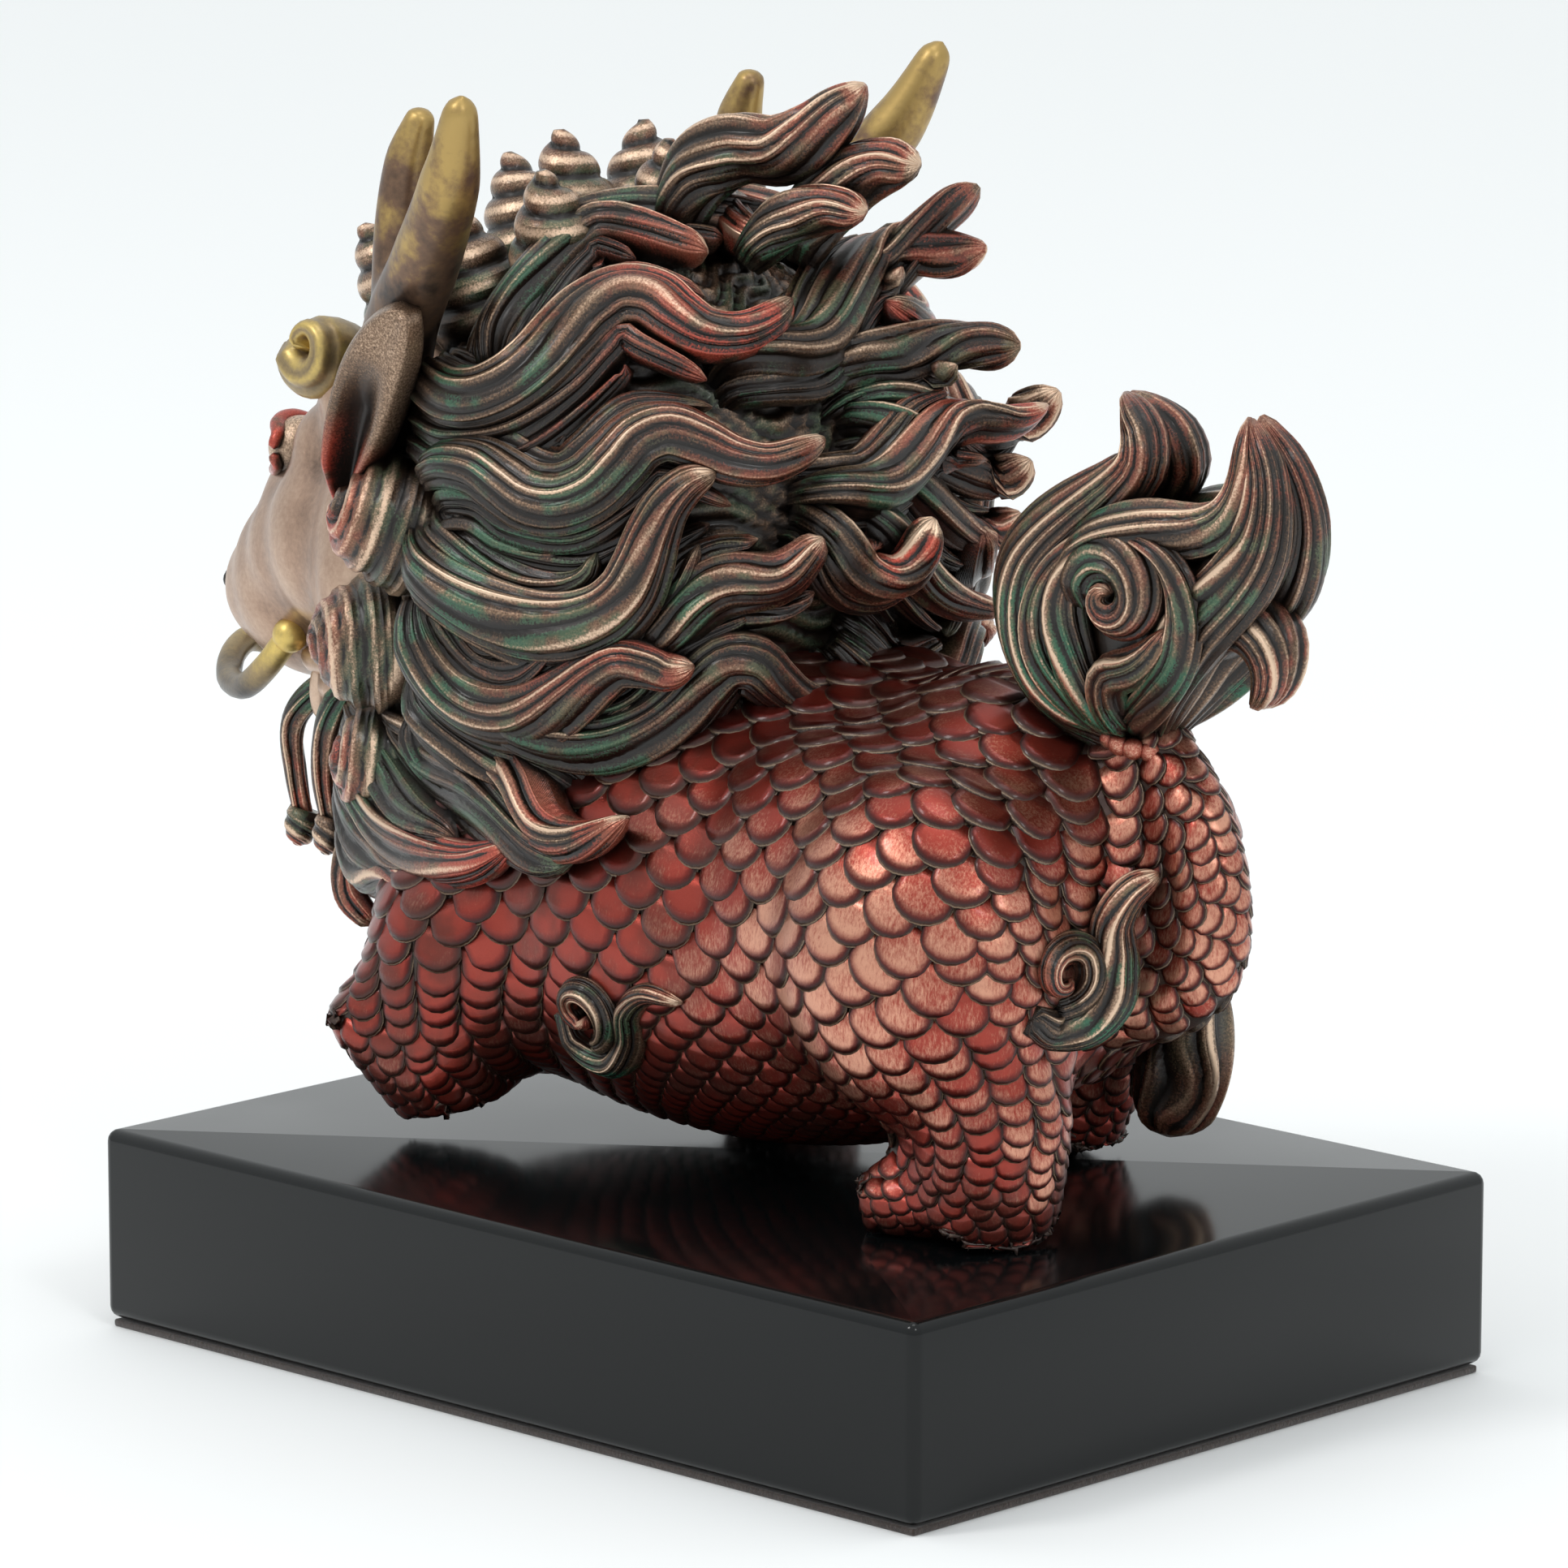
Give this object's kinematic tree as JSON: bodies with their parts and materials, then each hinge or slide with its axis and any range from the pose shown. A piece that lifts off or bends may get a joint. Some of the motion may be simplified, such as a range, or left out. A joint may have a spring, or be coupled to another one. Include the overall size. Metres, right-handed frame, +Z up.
{
  "type": "qilin figure",
  "caption": "Qilin walking on a block: scaled body, full curling mane, forked horns, ring in its nose and a flame-tufted tail, cast in bronze resin on black lacquer.",
  "frame": {"origin": "centre of the felt underside, on the surface that the ornament stands on", "axes": "+Z up; the qilin walks towards -Y, so its tail and the plinth's rear short face are on +Y, and its left side is on +X"},
  "size_m": [0.111, 0.1975, 0.1721],
  "materials": {
    "cast_bronze": "cold-cast bronze resin, dark in the recesses and rubbed bright on the ridges, with red and green washes",
    "black_lacquer": "satin black lacquer",
    "felt": "dark brown felt"
  },
  "bodies": {
    "root": {"figure": "cast_bronze", "plinth": "black_lacquer", "felt_pad": "felt"}
  },
  "joints": []
}
